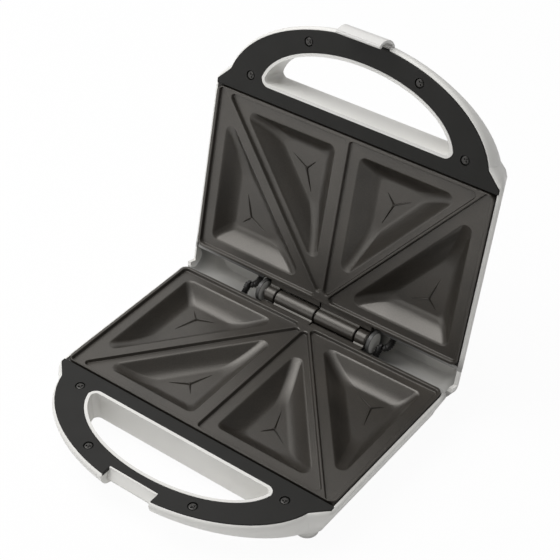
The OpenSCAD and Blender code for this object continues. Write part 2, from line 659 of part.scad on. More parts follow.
// Clip that swings on the lid's front edge and hooks under the catch in the base
latch_c = [grip_front + 6.65, 2.84];
latch_r = 13.7;
latch_t = 1.9;
module latch() color("#f2f0ec") on_lid() translate([-latch_w / 2, 0, 0]) rotate([90, 0, 90]) difference() {
  linear_extrude(latch_w) {
    difference() {
      polygon(concat([latch_c], arc_pts(latch_c, 2 * latch_r, 148, 236, 8)));
      translate(latch_c) circle(r = latch_r - latch_t, $fn = 96);
      difference() {
        translate(latch_c) circle(r = 4 * latch_r);
        translate(latch_c) circle(r = latch_r, $fn = 96);
      }
    }
    translate(pivot) circle(r = latch_pin_r + 1.2);
    polygon([latch_c + (latch_r - 0.5) * [cos(228), sin(228)],
        latch_c + (latch_r - 0.5) * [cos(235.5), sin(235.5)],
      pivot + [1.2, -1], pivot + [-0.5, 2]]);
    translate(latch_c + (latch_r - 1.45) * [cos(149.5), sin(149.5)]) circle(r = 1.4);
  }
  translate([pivot[0], pivot[1], -1]) cylinder(r = latch_pin_r + fit, h = latch_w + 2);
}
module latch_pin() color("silver") on_lid() translate([-slot_w / 2 - 1.9, pivot[0], pivot[1]])
    rotate([0, 90, 0])
  cylinder(r = latch_pin_r, h = slot_w + 3.8);

base_casing();
base_handle_cover();
base_cover_screws();
base_plate();
base_heater();
base_reflector();
base_plate_screws();
feet();
outlet_bush();
thermostat();
thermal_fuse();
terminal_block();
hinge_pin();
left_sleeve_base();
right_sleeve_base();
lid_casing();
lid_handle_cover();
lid_cover_screws();
lid_plate();
lid_heater();
lid_reflector();
lid_plate_screws();
left_sleeve_lid();
right_sleeve_lid();
power_lens();
ready_lens();
power_lamp();
ready_lamp();
lamp_holder();
latch_pin();
latch();
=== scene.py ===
"""Dresses the sandwich toaster: plates, casings, handle covers, clip, screws and lead sleeves."""

import math

import bpy
from bpy.props import FloatProperty, FloatVectorProperty, IntProperty, PointerProperty
from bpy.types import Operator, Panel, PropertyGroup
from mathutils import Matrix, Vector


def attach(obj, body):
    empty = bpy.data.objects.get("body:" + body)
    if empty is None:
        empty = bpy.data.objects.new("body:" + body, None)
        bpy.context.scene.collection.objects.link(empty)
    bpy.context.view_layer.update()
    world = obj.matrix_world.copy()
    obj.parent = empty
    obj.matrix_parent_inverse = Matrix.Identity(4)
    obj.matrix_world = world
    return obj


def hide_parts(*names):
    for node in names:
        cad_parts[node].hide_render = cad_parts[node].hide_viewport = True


bl_info = {
    "name": "Sandwich Toaster",
    "version": (1, 0, 0),
    "blender": (4, 5, 0),
    "location": "View3D > Sidebar > Toaster",
    "description": "Shapes and finishes the pieces of an open sandwich toaster",
    "category": "Object",
}

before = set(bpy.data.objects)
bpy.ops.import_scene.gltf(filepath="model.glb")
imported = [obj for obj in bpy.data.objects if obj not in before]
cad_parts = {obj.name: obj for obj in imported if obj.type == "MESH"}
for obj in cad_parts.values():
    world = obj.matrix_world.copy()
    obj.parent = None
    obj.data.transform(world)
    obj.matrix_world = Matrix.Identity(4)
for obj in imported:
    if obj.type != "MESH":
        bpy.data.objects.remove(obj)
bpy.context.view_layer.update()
MM = 0.001

# Sizes of the solid model, in millimetres, in each half's own frame: X along the hinge,
# Y to the rear from the plates' rear edge, Z up from the plane where the crests meet
PLATE_HALF = 110.0
PLATE_FRONT = -124.0
PLATE_CORNER = 5.0
PLATE_EDGE = 5.0
RIM = 2.2
CREST = 1.5
CELL_FLOOR = -2.4
POCKET_DEPTH = 10.0
POCKET_SLOPE = 13.0
PLATE_METAL = 2.0
HINGE = (10.5, 0.4)
LID_OPEN = math.radians(104.0)
KNUCKLE_R = 5.4
LONG_KNUCKLE = (-33.5, -0.5)
SHORT_KNUCKLE = (34.5, 42.7)
MID_Y = -60.3234
FOOT_Z = -29.0
COVER_TOP = -1.0
SCREW_SEAT = -2.5
HEAD_R = 2.9
HEAD_H = 1.4
SHANK_R = 1.5
SHANK_LENGTH = 8.0
COVER_BOLTS = [(84.4, -138.7), (42.7, -175.9)]
SLEEVES = (-58.0, 55.0)
SLEEVE_R = 2.25
RIB_LIFT = 0.35

BASE_PLACE = Matrix.Scale(MM, 4) @ Matrix.Translation((0, -MID_Y, -FOOT_Z))
LID_PLACE = (
    BASE_PLACE
    @ Matrix.Translation((0, HINGE[0], HINGE[1]))
    @ Matrix.Rotation(-LID_OPEN, 4, "X")
    @ Matrix.Translation((0, -HINGE[0], HINGE[1]))
    @ Matrix.Rotation(math.pi, 4, "Y")
)
PLACES = {"base": BASE_PLACE, "lid": LID_PLACE}


class ToasterShape(PropertyGroup):
    """Roundings and counts that the solid model leaves out."""

    crest_round: FloatProperty(
        name="Crest rounding",
        description="Radius on the crests between the cells",
        default=0.00035,
        min=0.0001,
        max=0.0006,
        unit="LENGTH",
    )
    edge_round: FloatProperty(
        name="Edge rounding",
        description="Radius on the edges of mouldings",
        default=0.00035,
        min=0.0001,
        max=0.0008,
        unit="LENGTH",
    )
    crease_height: FloatProperty(
        name="Crease height",
        description="Height of the three-armed crease in each pocket",
        default=0.0011,
        min=0.0002,
        max=0.0015,
        unit="LENGTH",
    )
    rib_pitch: FloatProperty(
        name="Rib pitch",
        description="Distance between the ribs of a lead sleeve",
        default=0.0015,
        min=0.0008,
        max=0.003,
        unit="LENGTH",
    )
    corner_steps: IntProperty(
        name="Corner steps",
        description="Facets round each corner of a cell",
        default=8,
        min=4,
        max=16,
    )


class ToasterColours(PropertyGroup):
    """Colours of the finishes."""

    housing: FloatVectorProperty(
        name="Housing",
        description="Colour of the moulded casings",
        subtype="COLOR",
        size=4,
        default=(0.76, 0.75, 0.72, 1),
    )
    cover: FloatVectorProperty(
        name="Handle covers",
        description="Colour of the dark handle covers",
        subtype="COLOR",
        size=4,
        default=(0.0095, 0.009, 0.0075, 1),
    )
    coating: FloatVectorProperty(
        name="Plate coating",
        description="Colour of the non-stick coating",
        subtype="COLOR",
        size=4,
        default=(0.025, 0.0215, 0.0175, 1),
    )
    clip: FloatVectorProperty(
        name="Clip",
        description="Colour of the latch clip",
        subtype="COLOR",
        size=4,
        default=(0.70, 0.69, 0.67, 1),
    )
    foot: FloatVectorProperty(
        name="Feet",
        description="Colour of the soft feet",
        subtype="COLOR",
        size=4,
        default=(0.62, 0.61, 0.59, 1),
    )


class ToasterStudio(PropertyGroup):
    """Camera and light."""

    azimuth: FloatProperty(
        name="Azimuth",
        description="Turn of the camera round the toaster",
        default=math.radians(37.38),
        subtype="ANGLE",
    )
    elevation: FloatProperty(
        name="Elevation",
        description="Height of the camera above the horizon",
        default=math.radians(39.23),
        subtype="ANGLE",
    )
    roll: FloatProperty(
        name="Roll",
        description="Tilt of the picture",
        default=math.radians(-0.41),
        subtype="ANGLE",
    )
    distance: FloatProperty(
        name="Distance",
        description="Distance of the camera from its target",
        default=1.03435,
        unit="LENGTH",
    )
    lens: FloatProperty(
        name="Lens",
        description="Focal length in millimetres",
        default=96.56,
    )
    key_power: FloatProperty(
        name="Key light",
        description="Power in watts of the softbox at the left",
        default=12.0,
    )
    top_power: FloatProperty(
        name="Top light",
        description="Power in watts of the softbox overhead",
        default=7.0,
    )
    fill_power: FloatProperty(
        name="Fill light",
        description="Power in watts of the softbox at the right",
        default=1.6,
    )
    rear_power: FloatProperty(
        name="Rear light",
        description="Power in watts of the softbox behind the toaster at the left",
        default=3.8,
    )
    front_power: FloatProperty(
        name="Front light",
        description="Power in watts of the low softbox in front",
        default=3.5,
    )
    sky: FloatProperty(
        name="Ambient light",
        description="Strength of the light from all round",
        default=0.16,
    )


def shape():
    return bpy.context.scene.toaster_shape


def colour(name):
    return tuple(getattr(bpy.context.scene.toaster_colours, name))


# Finishes


class Wire:
    """A value on its way through a material. Arithmetic on it adds Math nodes."""

    def __init__(self, finish, socket):
        self.finish = finish
        self.socket = socket

    def _math(self, operation, first, second):
        return self.finish.node(
            "ShaderNodeMath", {"operation": operation}, {0: first, 1: second}
        )

    def __add__(self, other):
        return self._math("ADD", self, other)

    __radd__ = __add__

    def __sub__(self, other):
        return self._math("SUBTRACT", self, other)

    def __rsub__(self, other):
        return self._math("SUBTRACT", other, self)

    def __mul__(self, other):
        return self._math("MULTIPLY", self, other)

    __rmul__ = __mul__

    def __pow__(self, other):
        return self._math("POWER", self, other)


class Finish:
    """A procedural material built round one Principled shader."""

    def __init__(self, name, constants=None):
        self.material = bpy.data.materials.new(name)
        self.material.use_nodes = True
        self.tree = self.material.node_tree
        self.shader = self.tree.nodes["Principled BSDF"]
        for socket, value in (constants or {}).items():
            self.shader.inputs[socket].default_value = value
        self.place = self.node("ShaderNodeTexCoord", out="Object")

    def node(self, kind, settings=None, inputs=None, out=0):
        """Adds any node: its settings first, then the values or wires of its sockets."""
        node = self.tree.nodes.new(kind)
        for key, value in (settings or {}).items():
            if key == "stops":
                ramp = node.color_ramp.elements
                while len(ramp) < len(value):
                    ramp.new(0.5)
                for stop, (position, tint) in zip(ramp, value):
                    stop.position = position
                    stop.color = tint
            else:
                setattr(node, key, value)
        for key, value in (inputs or {}).items():
            self.feed(node.inputs[key], value)
        return Wire(self, node.outputs[out])

    def feed(self, target, value):
        if isinstance(value, Wire):
            self.tree.links.new(value.socket, target)
        else:
            target.default_value = value

    def noise(self, scale, detail=2.0, roughness=0.5):
        return self.node(
            "ShaderNodeTexNoise",
            None,
            {"Vector": self.place, "Scale": scale, "Detail": detail, "Roughness": roughness},
        )

    def ramp(self, factor, low, high):
        """Stretches a value so that it runs from 0 at low to 1 at high."""
        return self.node(
            "ShaderNodeMapRange",
            None,
            {"Value": factor, "From Min": low, "From Max": high},
        )

    def part(self, axis):
        """One coordinate of the point being coloured."""
        return self.node("ShaderNodeSeparateXYZ", None, {0: self.place}, out=axis)

    def from_middle(self):
        """Distance from the toaster's middle plane."""
        x = self.part("X")
        return (x * x) ** 0.5

    def from_hinge(self):
        """Distance from the hinge's axis."""
        y = self.part("Y") - (HINGE[0] - MID_Y) * MM
        z = self.part("Z") - (HINGE[1] - FOOT_Z) * MM
        return (y * y + z * z) ** 0.5

    def blend(self, factor, first, second):
        return self.node(
            "ShaderNodeMix",
            {"data_type": "RGBA"},
            {0: factor, 6: first, 7: second},
            out=2,
        )

    def set(self, socket, value):
        self.feed(self.shader.inputs[socket], value)

    def relief(self, height, depth, strength=1.0):
        bump = self.node(
            "ShaderNodeBump",
            None,
            {"Height": height, "Distance": depth, "Strength": strength},
        )
        self.set("Normal", bump)


def tint(value, factor):
    return (value[0] * factor, value[1] * factor, value[2] * factor, 1)


def moulded_plastic(name, base, gloss, grain=1400.0, depth=0.00003, paint_hinge_shade=False, shine=0.5):
    """Injection-moulded plastic with a fine spark-eroded grain and slightly uneven gloss."""
    finish = Finish(name, {"Roughness": gloss, "Specular IOR Level": shine})
    drift = finish.noise(18.0)
    shade = finish.blend(finish.ramp(drift, 0.35, 0.65), tint(base, 0.955), tint(base, 1.0))
    if paint_hinge_shade:
        # Painted shade round the hinge, where the trough lies in shadow, less so towards the ends, with
        # the cheeks beside the barrels left unshaded
        clear = finish.ramp(finish.from_hinge(), 0.01, 0.025)
        cheeks = finish.ramp(finish.from_hinge(), 0.0078, 0.0068)
        ends = finish.ramp(finish.from_middle(), 0.05, 0.1)
        shade = finish.blend(clear + cheeks + ends * 0.4, tint(base, 0.07), shade)
    finish.set("Base Color", shade)
    finish.set("Roughness", finish.ramp(finish.noise(60.0), 0.2, 0.8) * 0.08 + (gloss - 0.04))
    finish.relief(finish.noise(grain, 3.0), depth, 0.5)
    return finish.material


def coated_metal(name, base):
    """Sprayed non-stick coating: fine speckle, orange peel and a soft satin sheen."""
    finish = Finish(
        name, {"Roughness": 0.38, "Specular IOR Level": 0.88, "Specular Tint": (1.0, 0.96, 0.9, 1)}
    )
    speckle = finish.node(
        "ShaderNodeTexVoronoi",
        {"feature": "F1"},
        {"Vector": finish.place, "Scale": 1150.0},
    )
    cloud = finish.noise(30.0, 3.0)
    shade = finish.ramp(speckle, 0.1, 0.6) * 0.5 + finish.ramp(cloud, 0.3, 0.7) * 0.5
    finish.set("Base Color", finish.blend(shade, tint(base, 1.6), tint(base, 0.55)))
    finish.set("Roughness", finish.ramp(cloud, 0.25, 0.75) * 0.08 + 0.34)
    finish.relief(finish.noise(1000.0, 2.0) * 0.8 + finish.noise(260.0) * 0.2, 0.00012, 0.5)
    return finish.material


def drawn_steel(name, base, gloss):
    """Steel with fine lines along X, as drawn wire and turned pins have."""
    finish = Finish(name, {"Metallic": 1.0, "Roughness": gloss})
    lines = finish.node(
        "ShaderNodeMapping", None, {"Vector": finish.place, "Scale": (30.0, 1500.0, 1500.0)}
    )
    streak = finish.node("ShaderNodeTexNoise", None, {"Vector": lines, "Scale": 1.0, "Detail": 2.0})
    finish.set("Base Color", finish.blend(streak, tint(base, 0.8), tint(base, 1.1)))
    finish.set("Roughness", streak * 0.2 + (gloss - 0.1))
    finish.relief(streak, 0.00001, 0.4)
    return finish.material


def woven_sleeve(name):
    """Dark braided glass-fibre sleeve."""
    finish = Finish(name, {"Roughness": 0.45})
    braid = finish.node(
        "ShaderNodeTexWave",
        {"wave_type": "BANDS", "bands_direction": "DIAGONAL"},
        {"Vector": finish.place, "Scale": 900.0, "Distortion": 2.0},
    )
    finish.set("Base Color", finish.blend(braid, (0.006, 0.006, 0.006, 1), (0.020, 0.019, 0.018, 1)))
    finish.relief(braid, 0.00008, 0.6)
    return finish.material


def lens_plastic(name, base):
    """Clear tinted plastic over a lamp."""
    finish = Finish(name, {"Roughness": 0.12, "Transmission Weight": 0.35, "IOR": 1.49})
    finish.set("Base Color", finish.blend(finish.noise(300.0), tint(base, 0.8), tint(base, 1.0)))
    finish.relief(finish.noise(1800.0), 0.00002, 0.3)
    return finish.material


def ceramic(name, base):
    """Fired ceramic and mica of the parts inside."""
    finish = Finish(name, {"Roughness": 0.6})
    finish.set("Base Color", finish.blend(finish.noise(500.0, 3.0), tint(base, 0.85), tint(base, 1.0)))
    finish.relief(finish.noise(1200.0), 0.00003, 0.5)
    return finish.material


# Shared modelling steps


def select_only(*objects):
    if bpy.context.object and bpy.context.object.mode != "OBJECT":
        bpy.ops.object.mode_set(mode="OBJECT")
    bpy.ops.object.select_all(action="DESELECT")
    for thing in objects:
        thing.select_set(True)
    bpy.context.view_layer.objects.active = objects[0]


def edit(thing, mode="EDGE"):
    """Opens a piece for editing with nothing selected."""
    select_only(thing)
    bpy.ops.object.mode_set(mode="EDIT")
    bpy.ops.mesh.select_mode(type=mode)
    bpy.ops.mesh.select_all(action="DESELECT")


def close():
    bpy.ops.object.mode_set(mode="OBJECT")


def add_mesh(name, points, faces, edges=()):
    mesh = bpy.data.meshes.new(name)
    mesh.from_pydata(points, edges, faces)
    thing = bpy.data.objects.new(name, mesh)
    bpy.context.scene.collection.objects.link(thing)
    return thing


def joined(name, things):
    select_only(*things)
    bpy.ops.object.join()
    whole = bpy.context.object
    whole.name = name
    whole.data.name = name
    return whole


def own_copy(node, half, name):
    """Merged copy of a solid's mesh, in its half's own frame in millimetres."""
    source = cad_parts[node]
    thing = bpy.data.objects.new(name, source.data.copy())
    bpy.context.scene.collection.objects.link(thing)
    thing.data.transform(PLACES[half].inverted())
    thing.data.materials.clear()
    edit(thing)
    bpy.ops.mesh.select_all(action="SELECT")
    if thing.data.has_custom_normals:
        bpy.ops.mesh.customdata_custom_splitnormals_clear()
    bpy.ops.mesh.remove_doubles(threshold=0.002)
    bpy.ops.mesh.dissolve_limited(angle_limit=math.radians(0.4))
    close()
    return thing


def round_edges(thing, test, radius, segments=2, sharper=35.0):
    """Bevels the sharp edges whose two ends pass the test."""
    edit(thing)
    bpy.ops.mesh.edges_select_sharp(sharpness=math.radians(sharper))
    close()
    points = thing.data.vertices
    for edge in thing.data.edges:
        if edge.select:
            a, b = (points[i].co for i in edge.vertices)
            edge.select = test(a, b)
    bpy.ops.object.mode_set(mode="EDIT")
    bpy.ops.mesh.bevel(
        offset=radius, segments=segments, profile=0.5, affect="EDGES", clamp_overlap=False
    )
    close()


def smooth(thing, angle=38.0):
    select_only(thing)
    bpy.ops.object.shade_smooth_by_angle(angle=math.radians(angle))


def even_normals(thing):
    select_only(thing)
    modifier = thing.modifiers.new("even", "WEIGHTED_NORMAL")
    modifier.keep_sharp = True
    bpy.ops.object.modifier_apply(modifier=modifier.name)


def fit(thing, half, body, slot, material, *nodes):
    """Puts a finished piece in its place on the toaster."""
    thing.data.transform(PLACES[half])
    thing.data.materials.clear()
    thing.data.materials.append(material)
    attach(thing, body)
    if nodes:
        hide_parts(*nodes)
    return thing


# Cooking plates


def unit(v):
    return v / v.length


def incircle(corners):
    a, b, c = corners
    sides = [(b - c).length, (a - c).length, (a - b).length]
    whole = sum(sides)
    centre = (sides[0] * a + sides[1] * b + sides[2] * c) / whole
    half = whole / 2
    area = math.sqrt(half * math.prod(half - s for s in sides))
    return centre, area / half


def triangle_ring(corners, inset, radius, steps):
    """Outline of a triangle moved inwards by inset, with rounded corners."""
    centre, inradius = incircle(corners)
    share = 1 - inset / inradius
    tips = [centre + (corner - centre) * share for corner in corners]
    ring = []
    for i in range(3):
        p, q, s = tips[i], tips[(i + 1) % 3], tips[(i + 2) % 3]
        u, v = unit(q - p), unit(s - p)
        half = math.acos(max(-1.0, min(1.0, u.dot(v)))) / 2
        middle = p + unit(u + v) * radius / math.sin(half)
        facing = math.atan2(-(u.x + v.x), -(u.y + v.y))
        turn = math.pi - 2 * half
        for k in range(steps + 1):
            angle = facing - turn * (k / steps - 0.5)
            ring.append(middle + radius * Vector((math.sin(angle), math.cos(angle))))
    return ring


def rectangle_ring(half, front, rear, radius, steps):
    ring = []
    for cx, cy, start in (
        (half - radius, front + radius, -90),
        (half - radius, rear - radius, 0),
        (radius - half, rear - radius, 90),
        (radius - half, front + radius, 180),
    ):
        for k in range(steps + 1):
            angle = math.radians(start + 90 * k / steps)
            ring.append(Vector((cx + radius * math.cos(angle), cy + radius * math.sin(angle))))
    return ring


DIAGONAL = unit(Vector((PLATE_HALF - 9, PLATE_FRONT + 2.5)))
ACROSS = Vector((-DIAGONAL.y, DIAGONAL.x))


def diagonal_at_x(offset, x):
    p = ACROSS * offset
    return Vector((x, p.y + (x - p.x) * DIAGONAL.y / DIAGONAL.x))


def diagonal_at_y(offset, y):
    p = ACROSS * offset
    return Vector((p.x + (y - p.y) * DIAGONAL.x / DIAGONAL.y, y))


def triangle_in(rear, offset, side, level):
    """Corners of a cell or pocket in the right half, from its offset to the diagonal crest."""
    if rear:
        return [
            Vector((side, level)),
            diagonal_at_y(offset, level),
            diagonal_at_x(offset, side),
        ]
    return [
        Vector((side, level)),
        diagonal_at_y(-offset, level),
        diagonal_at_x(-offset, side),
    ]


CELLS = (
    triangle_in(True, CREST / 2, PLATE_HALF - RIM, -RIM),
    triangle_in(False, CREST / 2, CREST / 2, PLATE_FRONT + RIM),
)
POCKETS = (
    triangle_in(True, 9.4, PLATE_HALF - 11, -9.4),
    triangle_in(False, 6.3, 10.2, PLATE_FRONT + 11),
)
CREASES = (Vector((74.5, -31.8)), Vector((35.6, PLATE_FRONT + 38.7)))
CREASE_REACH = (9.0, 14.0, 17.0)
CREASE_SECTION = (
    (-1, -0.3),
    (-0.9, 0.1),
    (-0.35, 0.85),
    (0, 1),
    (0.35, 0.85),
    (0.9, 0.1),
    (1, -0.3),
)


def pocket_level(distance):
    share = max(0.0, min(1.0, distance / POCKET_SLOPE))
    return CELL_FLOOR - POCKET_DEPTH * math.sin(math.pi / 2 * share)


def cell_rings(steps, crest):
    """Rings from the crest down the cell's wall and into the pocket, for both cells on the right."""
    wall = [
        (-crest, 0.0, 0.0),
        (-0.5 * crest, -0.15 * crest, 0.0),
        (-0.05, -0.45 * crest, 0.0),
        (0.12, -1.0 * crest, 0.0),
        (0.55, -1.95, 0.4),
        (0.68, -2.25, 0.55),
        (0.95, CELL_FLOOR, 0.6),
    ]
    lip = [
        (-1.1, CELL_FLOOR),
        (-0.6, CELL_FLOOR - 0.06),
        (-0.1, CELL_FLOOR - 0.26),
        (0.4, CELL_FLOOR - 0.62),
    ]
    slope = [(d, pocket_level(d)) for d in (1.0, 2.0, 3.2, 4.6, 6.0, 7.6, 9.3, 11.0, 12.2, 13.2)]
    stacks = []
    for cell, pocket in zip(CELLS, POCKETS):
        stack = [(triangle_ring(cell, i, 2.8 - i * 0.5 - t * 0.5, steps), z) for i, z, t in wall]
        stack += [(triangle_ring(pocket, i, 4.5 - min(0.0, i), steps), z) for i, z in lip + slope]
        stacks.append(stack)
    return stacks


def under_rings(steps):
    """Rings of the pockets' undersides, from the plate's flat back downwards."""
    stacks = []
    for pocket in POCKETS:
        stack = []
        for d in (1.5, 3.0, 4.6, 6.0, 7.6, 9.3, 11.0, 13.2):
            level = pocket_level(d) - PLATE_METAL
            if level < -PLATE_EDGE - 0.1:
                stack.append((triangle_ring(pocket, d - PLATE_METAL, 4.5 + PLATE_METAL, steps), level))
        first = stack[0][0]
        centre = sum(first, Vector((0, 0))) / len(first)
        stack.insert(0, ([centre + (p - centre) * 1.03 for p in first], -PLATE_EDGE))
        stacks.append(stack)
    return stacks


def stack_surface(points, faces, stack, mirrored, down):
    """Adds the surface through a stack of rings and closes its last ring."""
    count = len(stack[0][0])
    start = len(points)
    for ring, level in stack:
        for p in ring:
            points.append((-p.x if mirrored else p.x, p.y, level))
    flip = mirrored != down
    for j in range(len(stack) - 1):
        for i in range(count):
            a = start + j * count + i
            b = start + j * count + (i + 1) % count
            quad = (a, b, b + count, a + count)
            faces.append(quad[::-1] if flip else quad)
    last = [start + (len(stack) - 1) * count + i for i in range(count)]
    faces.append(tuple(reversed(last)) if flip else tuple(last))


def crease_arms(crease, pocket, mirrored, points, faces):
    """Three tapered ridges that meet in a pocket's floor."""
    floor = pocket_level(POCKET_SLOPE)
    height = shape().crease_height / MM
    for tip, reach in zip(pocket, CREASE_REACH):
        along = unit(tip - crease)
        aside = Vector((-along.y, along.x))
        start = len(points)
        stations = ((-0.9, 0.75, 0.9), (0.5, 0.8, 1.0), (0.55 * reach, 0.55, 0.75), (reach, 0.2, 0.15))
        for distance, width, share in stations:
            centre = crease + along * distance
            for offset, lift in CREASE_SECTION:
                p = centre + aside * offset * width
                level = floor + (height * share * lift if lift > 0 else lift)
                points.append((-p.x if mirrored else p.x, p.y, level))
        count = len(CREASE_SECTION)
        for j in range(len(stations) - 1):
            for i in range(count):
                a = start + j * count + i
                b = start + j * count + (i + 1) % count
                quad = (a, a + count, b + count, b)
                faces.append(quad[::-1] if mirrored else quad)
        first = tuple(start + i for i in range(count))
        last = tuple(start + (len(stations) - 1) * count + i for i in reversed(range(count)))
        ends = (first, last)
        faces.extend(end[::-1] if mirrored else end for end in ends)


def prism(name, outline, x0, x1, radius):
    """Bar along the hinge with the given outline in Y and Z."""
    count = len(outline)
    points = [(x, y, z) for x in (x0, x1) for y, z in outline]
    faces = [tuple(range(count)), tuple(range(2 * count - 1, count - 1, -1))]
    faces += [(i, i + count, (i + 1) % count + count, (i + 1) % count) for i in range(count)]
    thing = add_mesh(name, points, faces)
    edit(thing)
    bpy.ops.mesh.select_all(action="SELECT")
    bpy.ops.mesh.normals_make_consistent(inside=False)
    bpy.ops.mesh.bevel(offset=radius, segments=2, affect="EDGES", clamp_overlap=True)
    close()
    return thing


def barrel(x0, x1):
    """Knuckle of the hinge with rounded ends."""
    bpy.ops.object.select_all(action="DESELECT")
    bpy.ops.mesh.primitive_cylinder_add(
        vertices=64,
        radius=KNUCKLE_R,
        depth=x1 - x0,
        location=((x0 + x1) / 2, HINGE[0], HINGE[1]),
        rotation=(0, math.pi / 2, 0),
    )
    thing = bpy.context.object
    bpy.ops.object.transform_apply(location=True, rotation=True, scale=True)
    round_edges(thing, lambda a, b: abs(a.x - b.x) < 0.01, 0.7, 4)
    return thing


def cast_plate(half):
    """Whole cooking plate in its half's own frame, face up."""
    steps = shape().corner_steps
    crest = shape().crest_round / MM
    points, faces = [], []
    for cell, stack in enumerate(cell_rings(steps, crest)):
        for mirrored in (False, True):
            stack_surface(points, faces, stack, mirrored, False)
            crease_arms(CREASES[cell], POCKETS[cell], mirrored, points, faces)
    for stack in under_rings(steps):
        for mirrored in (False, True):
            stack_surface(points, faces, stack, mirrored, True)
    rim = [
        (0.45, 0.0),
        (0.22, -0.04),
        (0.07, -0.15),
        (0.0, -0.4),
        (0.0, -4.7),
        (0.12, -4.92),
        (0.3, -PLATE_EDGE),
    ]
    start = len(points)
    for inset, level in rim:
        ring = rectangle_ring(PLATE_HALF - inset, PLATE_FRONT + inset, -inset, PLATE_CORNER - inset, 8)
        points += [(p.x, p.y, level) for p in ring]
    count = len(ring)
    for j in range(len(rim) - 1):
        for i in range(count):
            a = start + j * count + i
            b = start + j * count + (i + 1) % count
            faces.append((b, a, a + count, b + count))
    plate = add_mesh("plate_skin", points, faces)
    for level in (0.0, -PLATE_EDGE):
        edit(plate)
        bpy.ops.mesh.select_non_manifold(extend=False, use_wire=False, use_boundary=True,
                                         use_multi_face=False, use_non_contiguous=False, use_verts=False)
        close()
        for edge in plate.data.edges:
            a, b = (plate.data.vertices[i].co for i in edge.vertices)
            if abs(a.z - level) > 0.01 or abs(b.z - level) > 0.01:
                edge.select = False
        bpy.ops.object.mode_set(mode="EDIT")
        bpy.ops.mesh.fill()
        close()
    edit(plate)
    bpy.ops.mesh.select_all(action="SELECT")
    bpy.ops.mesh.normals_make_consistent(inside=False)
    close()
    web = [(3.9, -4.7), (HINGE[0] - 1, -4.9), (HINGE[0] - 3, 1.4), (HINGE[0] - 4.9, -0.6), (3.9, -1.62)]
    strip = [(-1, -PLATE_EDGE), (5.2, -PLATE_EDGE), (5.2, -3.6), (4.4, -1.5), (-1, -1.5)]
    parts = [plate]
    for x0, x1 in (LONG_KNUCKLE, SHORT_KNUCKLE):
        parts += [barrel(x0, x1), prism("web", web, x0, x1, 0.3)]
    for x0, x1 in ((0.5, 42.7), (-42.7, -0.5)):
        parts.append(prism("strip", strip, x0, x1, 0.35))
    whole = joined(half + "_cooking_plate", parts)
    smooth(whole, 40.0)
    even_normals(whole)
    return whole


class TOASTER_OT_cast_plates(Operator):
    """Shape the two cooking plates with their crests, pockets, creases and hinge knuckles"""

    bl_idname = "toaster.cast_plates"
    bl_label = "Cast Cooking Plates"

    def execute(self, context):
        coating = coated_metal("plate_coating", colour("coating"))
        for half in PLACES:
            fit(cast_plate(half), half, half, "coated_plate", coating, half + "_plate")
        return {"FINISHED"}


# Casings and covers


class TOASTER_OT_mould_casings(Operator):
    """Smooth the shading of the two moulded casings"""

    bl_idname = "toaster.mould_casings"
    bl_label = "Mould Casings"

    def execute(self, context):
        # The housing gets painted shade round the hinge
        plastic = moulded_plastic("housing_plastic", colour("housing"), 0.42, paint_hinge_shade=True)
        for half in PLACES:
            casing = own_copy(half + "_casing", half, half + "_shell")
            smooth(casing, 34.0)
            even_normals(casing)
            fit(casing, half, half, "housing", plastic, half + "_casing")
        return {"FINISHED"}


class TOASTER_OT_press_covers(Operator):
    """Shape the dark covers of the two handles with rounded edges"""

    bl_idname = "toaster.press_covers"
    bl_label = "Press Handle Covers"

    def execute(self, context):
        plastic = moulded_plastic("cover_plastic", colour("cover"), 0.55, 1100.0, 0.00005, shine=0.3)
        radius = shape().edge_round / MM
        for half in PLACES:
            cover = own_copy(half + "_handle_cover", half, half + "_handle_panel")
            round_edges(
                cover,
                lambda a, b: min(a.z, b.z) > COVER_TOP - 0.01 and (a - b).length > 0.6,
                radius,
                3,
            )
            smooth(cover, 34.0)
            even_normals(cover)
            fit(cover, half, half, "handle_cover", plastic, half + "_handle_cover")
        return {"FINISHED"}


